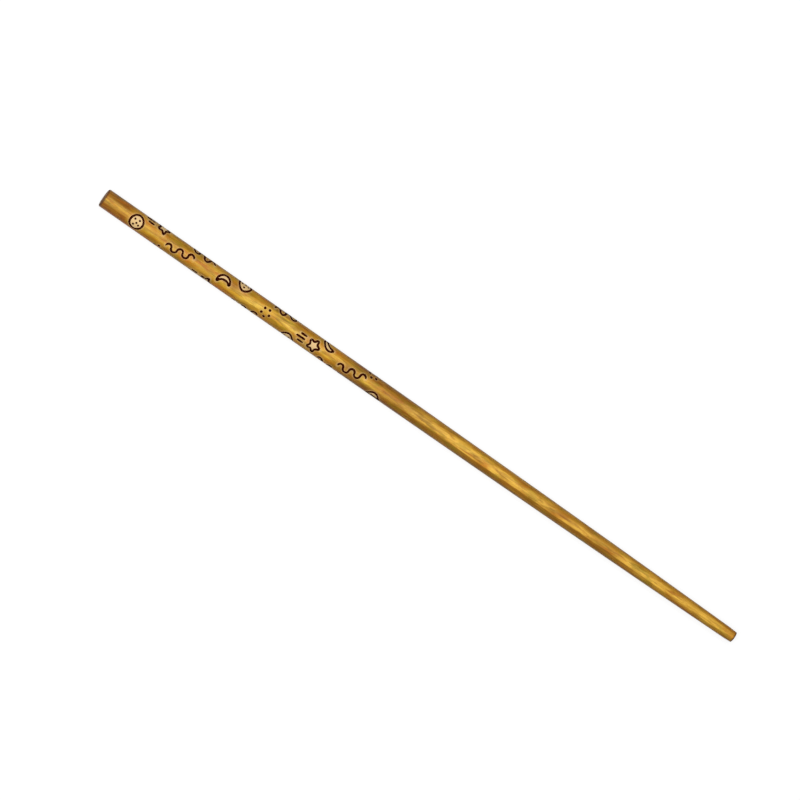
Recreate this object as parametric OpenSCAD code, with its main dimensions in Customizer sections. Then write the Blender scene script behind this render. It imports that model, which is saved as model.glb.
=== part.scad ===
// Toy magic wand: a slim stick cast in resin round a steel core.
// Its handle half is engraved with moons, shooting stars, waves and dust, and dark paint lies in the lines.
// The wand lies along X and points to +X. The origin is the middle of its butt face.

/* [Stick] */
// Overall length, from the butt face to the tip face
wand_l = 370; // [320:1:420]
// Diameter of the butt
butt_d = 9.5; // [9:0.1:12]
// Diameter where the taper ends and the nose begins
taper_end_d = 5.95; // [5.6:0.05:7]
// Power of the taper: a higher one keeps the stick thick for longer
taper_power = 2.8; // [1.5:0.1:4]
// Length of the plain cylinder at the butt
plain_l = 14; // [8:0.5:14]
// Rounding of the butt's edge
butt_edge_r = 0.8; // [0.2:0.1:1.6]
// Length of the nose, the short cone at the tip
nose_l = 4; // [3:0.1:8]
// Diameter of the tip face before its edge is rounded
tip_face_d = 5.45; // [4.2:0.05:5.5]
// Rounding of the tip's edge
tip_edge_r = 0.3; // [0.1:0.1:0.8]

/* [Core] */
// Diameter of the steel core
core_d = 3; // [2:0.1:3.4]
// Resin over the core's end at the butt
core_butt_cover = 18; // [17:1:30]
// Resin over the core's end at the tip
core_tip_cover = 20; // [10:1:40]
// Chamfer on the core's cut ends
core_chamfer = 0.4; // [0.1:0.1:0.8]

/* [Engraved lines] */
// Width of an engraved line
line_w = 1.1; // [0.6:0.05:1.2]
// Depth of an engraved line
line_depth = 0.5; // [0.35:0.05:0.7]
// How far the paint in a line lies below the surface
paint_recess = 0.15; // [0.05:0.05:0.25]
// From the butt face to the middle of the first motif
pattern_start = 19; // [18.5:0.5:40]
// Number of motifs
motif_count = 29; // [6:1:29]
// Turn of the first motif away from the top, in degrees
first_turn = 10; // [0:5:360]
// Spin of a round motif in its place for each step along the stick, in degrees
motif_spin = 100; // [0:5:180]

/* [Motifs] */
// Diameter of a full moon
moon_d = 7.8; // [6:0.1:8]
// Diameter of a crater on the moon
crater_d = 1.1; // [0.7:0.05:1.2]
// Diameter of a crescent
crescent_d = 8; // [6.8:0.1:8.2]
// Diameter of the round bite that makes the crescent
bite_d = 6; // [5.2:0.1:6.2]
// Distance from the crescent's centre to the bite's centre
bite_shift = 2.1; // [1.9:0.1:2.5]
// Diameter of the circle through a star's points
star_d = 8.6; // [7:0.1:8.8]
// Length of a star's middle tail line
tail_l = 5; // [3.5:0.1:5.2]
// Gap between a star and its tail
tail_gap = 0.6; // [0.4:0.1:1]
// Distance between the tail lines
tail_step = 1.8; // [1.5:0.1:1.9]
// Radius of a wave's bends, on the middle of the line
wave_r = 1.5; // [1.2:0.05:1.6]
// Number of bends in a wave
wave_bends = 5; // [2:1:5]
// Slant of a wave to the stick, one way and then the other, in degrees
wave_slant = 9; // [0:1:14]
// Diameter of a dust dot
dust_d = 1.4; // [0.9:0.05:1.5]
// Radius of the circle that the dust dots lie on
dust_ring_r = 2.2; // [1.8:0.1:2.4]

/* [Hidden] */
$fn = 48;
// Cuts run this far past what they cut
overrun = 1;
// Straight pieces that the long taper is drawn with, and those of a rounded edge
taper_steps = 18;
edge_steps = 6;

butt_r = butt_d / 2;
taper_end_r = taper_end_d / 2;
tip_face_r = tip_face_d / 2;
core_r = core_d / 2;
nose_start = wand_l - nose_l;
nose_slope = atan((taper_end_r - tip_face_r) / nose_l);
core_l = wand_l - core_butt_cover - core_tip_cover;
wave_l = 2 * wave_r * wave_bends;
star_l = star_d + tail_gap + tail_l;

// From one motif to the next: a share of the longest motif along the stick, and a share of a full turn
step_share = 1 / 3;
turn_share = 2 / 5;
motif_pitch = step_share * max(wave_l, star_l, moon_d, crescent_d);
motif_turn = 360 * turn_share;

// Craters' places on a moon, as shares of its diameter
crater_shares = [[-0.18, 0.14], [0.13, 0.18], [0.02, -0.04], [0.2, -0.12], [-0.12, -0.2]];
// A star's waist as a share of its points' radius, and a side tail line as a share of the middle one
waist_share = 0.56;
side_tail_share = 0.7;
star_points = 5;
dust_count = 5;
tail_rows = [-1, 0, 1];

// The motifs follow each other in this order, again and again
MOON = 0;
WAVE = 1;
STAR = 2;
DUST = 3;
CRESCENT = 4;
motif_order = [MOON, WAVE, STAR, DUST, CRESCENT, WAVE];

resin_colour = [0.78, 0.57, 0.22];
steel_colour = [0.72, 0.73, 0.74];
paint_colour = [0.22, 0.09, 0.03];

// The taper's outline at a share of its drop in radius, given as [radius, place along the stick]
function taper_point(share) = [
    butt_r - (butt_r - taper_end_r) * share,
    plain_l + (nose_start - plain_l) * pow(share, 1 / taper_power),
];

// Points of a rounded corner, given as [radius, place along the stick], between two outward directions.
// In degrees, 0 points away from the axis, -90 out of the butt face and 90 out of the tip face.
function edge_arc(centre, r, from, to) = [
    for (i = [0 : edge_steps])
        let (turn = from + (to - from) * i / edge_steps)
            [centre.x + r * cos(turn), centre.y + r * sin(turn)]
];

// Half of the stick's outline, from the butt's middle to the tip's middle
function stick_outline() = concat(
    [[0, 0]],
    edge_arc([butt_r - butt_edge_r, butt_edge_r], butt_edge_r, -90, 0),
    [for (i = [0 : taper_steps]) taper_point(i / taper_steps)],
    edge_arc(
        [tip_face_r - tip_edge_r * (1 - sin(nose_slope)) / cos(nose_slope), wand_l - tip_edge_r],
        tip_edge_r, nose_slope, 90
    ),
    [[0, wand_l]]
);

// Lays a shape that is turned about Z along the stick
module along_stick() {
    rotate([0, 90, 0])
        children();
}

// The stick as a plain turned solid, with its surface sunk by an even depth
module turned_stick(sunk = 0) {
    along_stick()
        rotate_extrude()
            polygon([for (p = stick_outline()) [max(0, p.x - sunk), p.y]]);
}

module core_rod() {
    along_stick()
        translate([0, 0, core_butt_cover])
            rotate_extrude()
                polygon([
                    [0, 0],
                    [core_r - core_chamfer, 0],
                    [core_r, core_chamfer],
                    [core_r, core_l - core_chamfer],
                    [core_r - core_chamfer, core_l],
                    [0, core_l],
                ]);
}

// Motifs, drawn flat with X along the stick towards its tip

module moon_lines() {
    difference() {
        circle(d = moon_d);
        circle(d = moon_d - 2 * line_w);
    }
    for (place = crater_shares)
        translate(moon_d * place)
            circle(d = crater_d);
}

// A crescent with its outline drawn in by an even inset
module crescent_shape(inset) {
    difference() {
        circle(d = crescent_d - 2 * inset);
        translate([bite_shift, 0])
            circle(d = bite_d + 2 * inset);
    }
}

module crescent_lines() {
    difference() {
        crescent_shape(0);
        crescent_shape(line_w);
    }
}

// A star whose edges all lie as far from its centre, drawn in by an even inset
module star_shape(inset) {
    point_r = star_d / 2;
    waist_r = point_r * waist_share;
    half_turn = 180 / star_points;
    edge_l = sqrt(point_r ^ 2 + waist_r ^ 2 - 2 * point_r * waist_r * cos(half_turn));
    edge_distance = point_r * waist_r * sin(half_turn) / edge_l;
    drawn_in = (edge_distance - inset) / edge_distance;
    polygon([
        for (i = [0 : 2 * star_points - 1])
            let (r = drawn_in * (i % 2 == 0 ? point_r : waist_r))
                [r * cos(i * half_turn), r * sin(i * half_turn)]
    ]);
}

// A straight line with round ends, from the origin towards -X
module round_bar(l) {
    translate([-l, -line_w / 2])
        square([l, line_w]);
    circle(d = line_w);
    translate([-l, 0])
        circle(d = line_w);
}

module star_lines() {
    translate([(tail_gap + tail_l) / 2, 0]) {
        difference() {
            star_shape(0);
            star_shape(line_w);
        }
        for (row = tail_rows)
            translate([-star_d / 2 - tail_gap, row * tail_step])
                round_bar(tail_l * (row == 0 ? 1 : side_tail_share));
    }
}

// Half rings set end to end, turned up and down in turn
module wave_lines() {
    outer_r = wave_r + line_w / 2;
    translate([-wave_l / 2, 0]) {
        for (i = [0 : wave_bends - 1])
            translate([wave_r * (2 * i + 1), 0])
                difference() {
                    circle(r = outer_r);
                    circle(r = wave_r - line_w / 2);
                    translate([-outer_r - overrun, i % 2 == 0 ? -outer_r - overrun : 0])
                        square([2 * (outer_r + overrun), outer_r + overrun]);
                }
        for (end = [0, wave_l])
            translate([end, 0])
                circle(d = line_w);
    }
}

module dust_dots() {
    for (i = [0 : dust_count - 1])
        rotate(i * 360 / dust_count)
            translate([dust_ring_r, 0])
                circle(d = dust_d);
}

module motif(kind) {
    if (kind == MOON) moon_lines();
    if (kind == CRESCENT) crescent_lines();
    if (kind == STAR) star_lines();
    if (kind == WAVE) wave_lines();
    if (kind == DUST) dust_dots();
}

// How far the motif at step i is spun in its place. A shooting star keeps to the stick, and a wave slants.
function spin_of(kind, i) =
    kind == STAR ? 0 :
    kind == WAVE ? (i % 4 == 1 ? wave_slant : -wave_slant) :
    i * motif_spin;

// The motifs of one kind, each raised from the axis through the surface at its own place and turn
module raised_motifs(kind) {
    for (i = [0 : motif_count - 1])
        if (motif_order[i % len(motif_order)] == kind)
            translate([pattern_start + i * motif_pitch, 0, 0])
                rotate([first_turn + i * motif_turn, 0, 0])
                    linear_extrude(butt_r + overrun)
                        rotate(spin_of(kind, i))
                            motif(kind);
}

// The paint that lies in the lines of one kind of motif
module line_paint(kind) {
    color(paint_colour)
        difference() {
            intersection() {
                raised_motifs(kind);
                turned_stick(paint_recess);
            }
            turned_stick(line_depth);
        }
}

module cast_body() {
    color(resin_colour)
        difference() {
            turned_stick();
            core_rod();
            difference() {
                for (kind = [MOON, CRESCENT, STAR, WAVE, DUST])
                    raised_motifs(kind);
                turned_stick(line_depth);
            }
        }
}

module steel_core() {
    color(steel_colour)
        core_rod();
}

cast_body();
steel_core();
line_paint(MOON);  // moon_line_paint
line_paint(CRESCENT);  // crescent_line_paint
line_paint(STAR);  // star_line_paint
line_paint(WAVE);  // wave_line_paint
line_paint(DUST);  // dust_dot_paint
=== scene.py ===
"""A toy magic wand: a painted cast stick, engraved with paint-filled motifs, over a steel core."""

import logging
import math
from collections.abc import Iterable, Iterator
from dataclasses import dataclass, field
from enum import Enum

import bmesh
import bpy
import numpy as np
from bpy.types import ID, Material, Mesh, Node, NodeSocket, NodeTree, Object, World, bpy_prop_collection
from mathutils import Matrix, Vector, kdtree, noise


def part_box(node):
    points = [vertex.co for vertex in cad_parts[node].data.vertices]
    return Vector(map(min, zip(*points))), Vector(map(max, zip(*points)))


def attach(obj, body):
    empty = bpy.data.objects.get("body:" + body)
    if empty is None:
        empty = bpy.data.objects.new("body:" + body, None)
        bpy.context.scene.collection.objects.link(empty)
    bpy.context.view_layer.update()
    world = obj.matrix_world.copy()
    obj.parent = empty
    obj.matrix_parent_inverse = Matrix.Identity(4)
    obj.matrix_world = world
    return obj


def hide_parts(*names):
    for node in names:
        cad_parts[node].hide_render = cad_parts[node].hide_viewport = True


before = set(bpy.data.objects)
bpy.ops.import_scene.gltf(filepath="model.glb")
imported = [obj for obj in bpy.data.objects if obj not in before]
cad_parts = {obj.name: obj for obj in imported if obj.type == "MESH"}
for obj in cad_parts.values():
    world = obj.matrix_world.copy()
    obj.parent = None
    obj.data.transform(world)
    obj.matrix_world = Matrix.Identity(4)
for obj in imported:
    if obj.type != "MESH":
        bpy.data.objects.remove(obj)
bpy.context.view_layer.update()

MM = 0.001
BODY = "root"
Colour = tuple[float, float, float, float]
Paint = Colour | Node
Outline = tuple[np.ndarray, np.ndarray]
log = logging.getLogger("wand")


def linear(code: str) -> Colour:
    """Turns an sRGB hex colour into linear light.

    Args:
        code: Colour as "#rrggbb".

    Returns:
        Red, green, blue and a full alpha.
    """
    parts = [int(code[i : i + 2], 16) / 255 for i in (1, 3, 5)]
    red, green, blue = (p / 12.92 if p <= 0.04045 else ((p + 0.055) / 1.055) ** 2.4 for p in parts)
    return red, green, blue, 1.0


def add_node(
    tree: NodeTree, kind: str, inputs: dict[str | int, object] | None = None, **settings: object
) -> Node:
    """Adds a node, applies its settings, and fills or links its inputs.

    Args:
        tree: Tree that gets the node.
        kind: Blender's type name of the node.
        inputs: Input names or numbers, each with a value, an output, or a node whose first output is linked.
        settings: The node's own properties.

    Returns:
        The new node.
    """
    node = tree.nodes.new(kind)
    for name, value in settings.items():
        setattr(node, name, value)
    for key, value in (inputs or {}).items():
        if isinstance(value, Node):
            # Outputs that the node's settings leave unused come first on some nodes.
            value = next(output for output in value.outputs if output.enabled)
        if isinstance(value, NodeSocket):
            tree.links.new(value, node.inputs[key])
        else:
            node.inputs[key].default_value = value
    return node


def add_object(name: str, data: ID) -> Object:
    """Adds an object to the scene.

    Args:
        name: Name of the object.
        data: The mesh, lamp or camera that it shows.

    Returns:
        The new object, at the origin.
    """
    thing = bpy.data.objects.new(name, data)
    bpy.context.scene.collection.objects.link(thing)
    return thing


class Motif(Enum):
    """The kinds of motif engraved on the handle half."""

    MOON = "moon"
    WAVE = "wave"
    STAR = "star"
    DUST = "dust"
    CRESCENT = "crescent"


@dataclass
class ShapeTree:
    """A Geometry Nodes tree with named inputs, run once on a seed mesh and made a plain mesh."""

    name: str
    tree: NodeTree = field(init=False)
    inputs: Node = field(init=False)

    def __post_init__(self) -> None:
        """Makes the empty tree with its geometry sockets."""
        self.tree = bpy.data.node_groups.new(self.name, "GeometryNodeTree")
        self.tree.interface.new_socket("Geometry", in_out="INPUT", socket_type="NodeSocketGeometry")
        self.tree.interface.new_socket("Geometry", in_out="OUTPUT", socket_type="NodeSocketGeometry")
        self.inputs = add_node(self.tree, "NodeGroupInput")

    def add_input(self, name: str, kind: str = "Float") -> NodeSocket:
        """Adds a named input, and gives the socket that holds its value inside the tree."""
        self.tree.interface.new_socket(name, in_out="INPUT", socket_type=f"NodeSocket{kind}")
        return self.inputs.outputs[name]

    def close(self, geometry: Node, material: NodeSocket) -> None:
        """Ends the tree with real geometry of one material.

        Args:
            geometry: Node that gives the finished shape.
            material: Output that gives its material.
        """
        real = add_node(self.tree, "GeometryNodeRealizeInstances", {0: geometry})
        dressed = add_node(self.tree, "GeometryNodeSetMaterial", {"Geometry": real, "Material": material})
        add_node(self.tree, "NodeGroupOutput", {0: dressed})

    def run(self, name: str, seed: Mesh, values: dict[str, object]) -> Object:
        """Runs the tree on a seed mesh.

        Args:
            name: Name of the new object.
            seed: Mesh that the tree starts from.
            values: A value for each named input.

        Returns:
            An object at the origin that holds the result as a plain mesh.
        """
        piece = add_object(name, seed)
        modifier = piece.modifiers.new(self.name, "NODES")
        modifier.node_group = self.tree
        sockets = {s.name: s.identifier for s in self.tree.interface.items_tree if s.in_out == "INPUT"}
        for key, value in values.items():
            modifier[sockets[key]] = value
        return make_plain(piece)


def make_plain(piece: Object) -> Object:
    """Turns an object's modifiers into a plain mesh, without the empty slot that a ready-made shape leaves.

    Args:
        piece: Object with its modifiers set.

    Returns:
        The same object, with the evaluated mesh and no modifier.
    """
    graph = bpy.context.evaluated_depsgraph_get()
    graph.update()
    mesh = bpy.data.meshes.new_from_object(piece.evaluated_get(graph), depsgraph=graph)
    mesh.name = piece.name
    if None in list(mesh.materials):
        mesh.materials.pop(index=list(mesh.materials).index(None))
    piece.modifiers.clear()
    piece.data = mesh
    return piece


def read_array(
    items: bpy_prop_collection, name: str, width: int = 1, kind: type = np.float32
) -> np.ndarray:
    """Reads one property of all of a mesh's points, corners or faces.

    Args:
        items: The points, corners or faces.
        name: Name of the property.
        width: How many numbers it holds.
        kind: Type of the numbers.

    Returns:
        A number for each item, or a row of numbers where the property holds several.
    """
    values = np.empty(width * len(items), kind)
    items.foreach_get(name, values)
    return values.reshape(-1, width) if width > 1 else values


def run_lengths(path: np.ndarray) -> np.ndarray:
    """Gives the distance along a path to each of its points."""
    return np.concatenate([[0.0], np.cumsum(np.linalg.norm(np.diff(path, axis=0), axis=1))])


@dataclass(frozen=True)
class Stick:
    """The turned stick, as in the frame, in metres."""

    length: float
    butt_r: float
    taper_end_r: float = 5.95 * MM / 2
    taper_power: float = 2.8
    plain_l: float = 14 * MM
    butt_edge_r: float = 0.8 * MM
    nose_l: float = 4 * MM
    tip_face_r: float = 5.45 * MM / 2
    tip_edge_r: float = 0.3 * MM
    segments: int = 72
    edge_rings: int = 7
    decimals: int = 7
    engraved_end: float = 168 * MM
    engraved_ring_step: float = 0.6 * MM
    plain_ring_step: float = 3 * MM

    @classmethod
    def from_frame(cls) -> "Stick":
        """Takes the length and the butt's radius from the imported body."""
        low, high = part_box("cast_body")
        return cls(length=high.x - low.x, butt_r=max(high.y, high.z, -low.y, -low.z))

    def stations(self) -> np.ndarray:
        """Gives the rings' places along the axis, close together at the ends and under the engraving."""
        nose_start = self.length - self.nose_l
        rounding = 1 - np.cos(np.linspace(0, math.pi / 2, self.edge_rings))
        places = [
            self.butt_edge_r * rounding,
            np.arange(self.butt_edge_r, self.engraved_end, self.engraved_ring_step),
            np.arange(self.engraved_end, nose_start, self.plain_ring_step),
            np.linspace(nose_start - self.tip_edge_r, nose_start, 2),
            np.linspace(nose_start, self.length - self.tip_edge_r, self.edge_rings),
            self.length - self.tip_edge_r * rounding,
        ]
        return np.unique(np.concatenate(places).round(self.decimals))

    def sizes(self) -> dict[str, float]:
        """Names the sizes that the stick's tree takes.

        Returns:
            A value for each named input.
        """
        return {
            "Length": self.length,
            "Butt Radius": self.butt_r,
            "Taper End Radius": self.taper_end_r,
            "Taper Power": self.taper_power,
            "Plain Length": self.plain_l,
            "Nose Start": self.length - self.nose_l,
            "Tip Face Radius": self.tip_face_r,
            "Butt Edge": self.butt_edge_r,
            "Tip Edge": self.tip_edge_r,
        }

    def tree(self) -> ShapeTree:
        """Makes the tree that turns a row of points on the axis into the stick.

        Returns:
            The tree, with an input for each size.
        """
        shape = ShapeTree("turned_stick")
        tree = shape.tree
        size = {name: shape.add_input(name) for name in self.sizes()}
        length, nose_start, taper_end_r = size["Length"], size["Nose Start"], size["Taper End Radius"]
        segments = shape.add_input("Segments", "Int")
        material = shape.add_input("Material", "Material")

        position = add_node(tree, "GeometryNodeInputPosition")
        along = add_node(tree, "ShaderNodeSeparateXYZ", {0: position}).outputs["X"]
        from_tip = add_node(tree, "ShaderNodeMath", {0: length, 1: along}, operation="SUBTRACT")
        share = add_node(
            tree,
            "ShaderNodeMapRange",
            {"Value": along, "From Min": size["Plain Length"], "From Max": nose_start},
        )
        bent = add_node(tree, "ShaderNodeMath", {0: share, 1: size["Taper Power"]}, operation="POWER")
        taper = add_node(
            tree,
            "ShaderNodeMapRange",
            {"Value": bent, "To Min": size["Butt Radius"], "To Max": taper_end_r},
        )
        nose = add_node(
            tree,
            "ShaderNodeMapRange",
            {
                "Value": along,
                "From Min": nose_start,
                "From Max": length,
                "To Min": taper_end_r,
                "To Max": size["Tip Face Radius"],
            },
            clamp=False,
        )
        radius = add_node(tree, "ShaderNodeMath", {0: taper, 1: nose}, operation="MINIMUM")
        # Each end's edge is rounded: the radius falls short by what a quarter circle leaves out.
        for edge, inwards in ((size["Butt Edge"], along), (size["Tip Edge"], from_tip)):
            drawn = add_node(
                tree, "ShaderNodeMapRange", {"Value": inwards, "From Min": edge, "From Max": 0.0}
            )
            squared = add_node(tree, "ShaderNodeMath", {0: drawn, 1: 2.0}, operation="POWER")
            rest = add_node(tree, "ShaderNodeMath", {0: 1.0, 1: squared}, operation="SUBTRACT")
            root = add_node(tree, "ShaderNodeMath", {0: rest}, operation="SQRT")
            cut = add_node(tree, "ShaderNodeMapRange", {"Value": root, "To Min": edge, "To Max": 0.0})
            radius = add_node(tree, "ShaderNodeMath", {0: radius, 1: cut}, operation="SUBTRACT")

        axis = add_node(tree, "GeometryNodeMeshToCurve", {"Mesh": shape.inputs})
        ring = add_node(
            tree, "GeometryNodeCurvePrimitiveCircle", {"Resolution": segments, "Radius": 1.0}, mode="RADIUS"
        )
        turned = add_node(
            tree,
            "GeometryNodeCurveToMesh",
            {"Curve": axis, "Profile Curve": ring, "Scale": radius, "Fill Caps": True},
        )
        shape.close(turned, material)
        return shape

    def turn(self, name: str, material: Material) -> Object:
        """Turns the plain stick, before it is engraved.

        Args:
            name: Name of the piece.
            material: Finish of its surface.

        Returns:
            The stick as a closed mesh.
        """
        places = self.stations()
        seed = bpy.data.meshes.new(f"{name}_axis")
        steps = range(len(places) - 1)
        seed.from_pydata([(x, 0.0, 0.0) for x in places], [(i, i + 1) for i in steps], [])
        values = self.sizes() | {"Segments": self.segments, "Material": material}
        return self.tree().run(name, seed, values)


@dataclass(frozen=True)
class Stroke:
    """One engraved line, drawn flat round its motif's middle."""

    points: np.ndarray
    closed: bool


@dataclass(frozen=True)
class Dot:
    """One engraved dot, drawn flat round its motif's middle."""

    place: tuple[float, float]
    radius: float


Drawing = tuple[list[Stroke], list[Dot]]


@dataclass(frozen=True)
class Place:
    """Where one motif lies on the stick."""

    kind: Motif
    step: int
    along: float
    turn: float
    spin: float


@dataclass(frozen=True)
class MotifSizes:
    """The motifs' sizes, as in the frame, in metres."""

    line_w: float = 1.1 * MM
    moon_d: float = 7.8 * MM
    crater_d: float = 1.1 * MM
    crater_shares: tuple[tuple[float, float], ...] = (
        (-0.18, 0.14),
        (0.13, 0.18),
        (0.02, -0.04),
        (0.2, -0.12),
        (-0.12, -0.2),
    )
    crescent_d: float = 8 * MM
    bite_d: float = 6 * MM
    bite_shift: float = 2.1 * MM
    star_d: float = 8.6 * MM
    star_points: int = 5
    waist_share: float = 0.56
    tail_l: float = 5 * MM
    tail_gap: float = 0.6 * MM
    tail_step: float = 1.8 * MM
    side_tail_share: float = 0.7
    wave_r: float = 1.5 * MM
    wave_bends: int = 5
    dust_d: float = 1.4 * MM
    dust_ring_r: float = 2.2 * MM
    dust_count: int = 5
    drawing_step: float = 0.1 * MM

    def arc(self, centre: tuple[float, float], radius: float, start: float, end: float) -> np.ndarray:
        """Draws part of a circle.

        Args:
            centre: Middle of the circle.
            radius: Its radius.
            start: First direction, in radians.
            end: Last direction, in radians.

        Returns:
            Points from the first direction to the last.
        """
        count = max(2, round(abs(end - start) * radius / self.drawing_step))
        turns = np.linspace(start, end, count)
        return np.column_stack([centre[0] + radius * np.cos(turns), centre[1] + radius * np.sin(turns)])

    def moon(self) -> Drawing:
        """Draws a full moon: a ring with craters in it."""
        ring = self.arc((0, 0), (self.moon_d - self.line_w) / 2, 0, 2 * math.pi)[:-1]
        craters = [Dot((self.moon_d * x, self.moon_d * y), self.crater_d / 2) for x, y in self.crater_shares]
        return [Stroke(ring, closed=True)], craters

    def crescent(self) -> Drawing:
        """Draws a crescent: the outline of a disc with a round bite out of it."""
        outer_r = (self.crescent_d - self.line_w) / 2
        inner_r = (self.bite_d + self.line_w) / 2
        shift = self.bite_shift
        horn_x = (shift**2 + outer_r**2 - inner_r**2) / (2 * shift)
        horn_y = math.sqrt(outer_r**2 - horn_x**2)
        horn = math.atan2(horn_y, horn_x)
        bite = math.atan2(horn_y, horn_x - shift)
        back = self.arc((0, 0), outer_r, horn, 2 * math.pi - horn)
        front = self.arc((shift, 0), inner_r, 2 * math.pi - bite, bite)
        return [Stroke(np.vstack([back[:-1], front[:-1]]), closed=True)], []

    def star(self) -> Drawing:
        """Draws a shooting star: a star's outline with tail lines behind it."""
        point_r = self.star_d / 2
        waist_r = point_r * self.waist_share
        half_turn = math.pi / self.star_points
        edge_l = math.sqrt(point_r**2 + waist_r**2 - 2 * point_r * waist_r * math.cos(half_turn))
        edge_distance = point_r * waist_r * math.sin(half_turn) / edge_l
        drawn_in = 1 - self.line_w / 2 / edge_distance
        middle = (self.tail_gap + self.tail_l) / 2
        corners = [
            (middle + r * math.cos(i * half_turn), r * math.sin(i * half_turn))
            for i, r in enumerate([point_r - self.line_w / 2, drawn_in * waist_r] * self.star_points)
        ]
        strokes = [Stroke(np.array(corners), closed=True)]
        tail_x = middle - point_r - self.tail_gap
        for row in (-1, 0, 1):
            tail_l = self.tail_l * (self.side_tail_share if row else 1)
            tail = np.array([(tail_x, row * self.tail_step), (tail_x - tail_l, row * self.tail_step)])
            strokes.append(Stroke(tail, closed=False))
        return strokes, []

    def wave(self) -> Drawing:
        """Draws a wave: half circles end to end, bent up and down in turn."""
        start = -self.wave_r * self.wave_bends
        bends = []
        for i in range(self.wave_bends):
            centre = (start + self.wave_r * (2 * i + 1), 0.0)
            bends.append(self.arc(centre, self.wave_r, math.pi, 0 if i % 2 == 0 else 2 * math.pi))
        return [Stroke(np.vstack(bends), closed=False)], []

    def dust(self) -> Drawing:
        """Draws a few dots of dust in a ring."""
        turns = [2 * math.pi * i / self.dust_count for i in range(self.dust_count)]
        ring = [(self.dust_ring_r * math.cos(t), self.dust_ring_r * math.sin(t)) for t in turns]
        return [], [Dot(place, self.dust_d / 2) for place in ring]

    def draw(self, kind: Motif) -> Drawing:
        """Draws a motif flat, as its lines and its dots."""
        return getattr(self, kind.value)()


@dataclass(frozen=True)
class HandDrawing:
    """How an engraver's hand departs from a ruled line."""

    point_step: float = 0.22 * MM
    corner_r: float = 0.35 * MM
    wobble: float = 0.13 * MM
    wobble_l: float = 2.6 * MM
    swell: float = 0.16
    swell_l: float = 1.9 * MM
    end_l: float = 0.9 * MM
    end_share: float = 0.45
    bend_share: float = 0.3
    noise_seed: int = 7
    step_shift: float = 10.3
    line_shift: float = 3.7
    fewest_points: int = 4
    rounding_passes: int = 2
    straightest: float = 1e-3

    def evenly(self, points: np.ndarray, closed: bool, step: float) -> np.ndarray:
        """Spaces a line's points evenly.

        Args:
            points: Points of the line.
            closed: Whether the line ends where it starts.
            step: Wanted distance between points.

        Returns:
            The new points.
        """
        path = np.vstack([points, points[:1]]) if closed else points
        lengths = run_lengths(path)
        count = max(self.fewest_points, round(lengths[-1] / step))
        marks = np.linspace(0, lengths[-1], count, endpoint=not closed)
        return np.column_stack([np.interp(marks, lengths, path[:, i]) for i in (0, 1)])

    def soften(self, stroke: Stroke) -> np.ndarray:
        """Rounds the corners of a closed line.

        Args:
            stroke: The ruled line.

        Returns:
            Evenly spaced points of the softened line.
        """
        fine_step = self.point_step / 2
        fine = self.evenly(stroke.points, stroke.closed, fine_step)
        reach = round(self.corner_r / fine_step)
        if stroke.closed:
            for _ in range(self.rounding_passes):
                fine = sum(np.roll(fine, i, axis=0) for i in range(-reach, reach + 1)) / (2 * reach + 1)
        return self.evenly(fine, stroke.closed, self.point_step)

    def tracks(self, along: np.ndarray, closed: bool) -> list[Vector]:
        """Lays a line out for the noise: straight, or as a circle where the line has to meet itself.

        Args:
            along: Distance along the line to each of its points.
            closed: Whether the line ends where it starts.

        Returns:
            Where each point reads the noise.
        """
        if not closed:
            return [Vector((s, 0, 0)) for s in along]
        whole = along[-1] + self.point_step
        spread = whole / (2 * math.pi)
        turns = along * 2 * math.pi / whole
        return [Vector((spread * math.cos(t), spread * math.sin(t), 0)) for t in turns]

    def bend_limits(self, points: np.ndarray, line_w: float) -> np.ndarray:
        """Finds how wide a closed line can be at each point before its inner edge folds over.

        Args:
            points: Evenly spaced points of the line.
            line_w: Full width of the line.

        Returns:
            The widest share of the line width at each point.
        """
        steps = np.roll(points, -1, axis=0) - points
        headings = np.arctan2(steps[:, 1], steps[:, 0])
        turns = headings - np.roll(headings, 1)
        turns = np.abs((turns + math.pi) % (2 * math.pi) - math.pi)
        tightest = np.max([np.roll(turns, i) for i in (-1, 0, 1)], axis=0)
        limits = 2 * self.point_step / (np.maximum(tightest, self.straightest) * line_w)
        return np.clip(limits, self.bend_share, None)

    def draw(self, stroke: Stroke, line_w: float, seed: float) -> tuple[np.ndarray, np.ndarray]:
        """Redraws a line by hand: round at its corners, a little unsteady, and thin at its ends and bends.

        Args:
            stroke: The ruled line.
            line_w: Its full width.
            seed: Number that sets this line's own unsteadiness.

        Returns:
            The line's points, and its width at each as a share of the line width.
        """
        points = self.soften(stroke)
        along = run_lengths(points)
        shares = np.empty(len(points))
        noise.seed_set(self.noise_seed)
        for i, track in enumerate(self.tracks(along, stroke.closed)):
            shift = noise.noise_vector(track / self.wobble_l + Vector((0, 0, seed)))
            points[i] += self.wobble * np.array(shift[:2])
            shares[i] = 1 + self.swell * noise.noise(track / self.swell_l + Vector((seed, 0, seed)))
        if stroke.closed:
            shares = np.minimum(shares, self.bend_limits(points, line_w))
        else:
            from_end = np.minimum(along, along[-1] - along)
            ease = np.clip(from_end / self.end_l, 0, 1)
            shares *= self.end_share + (1 - self.end_share) * np.sqrt(ease)
        return points, shares


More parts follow.
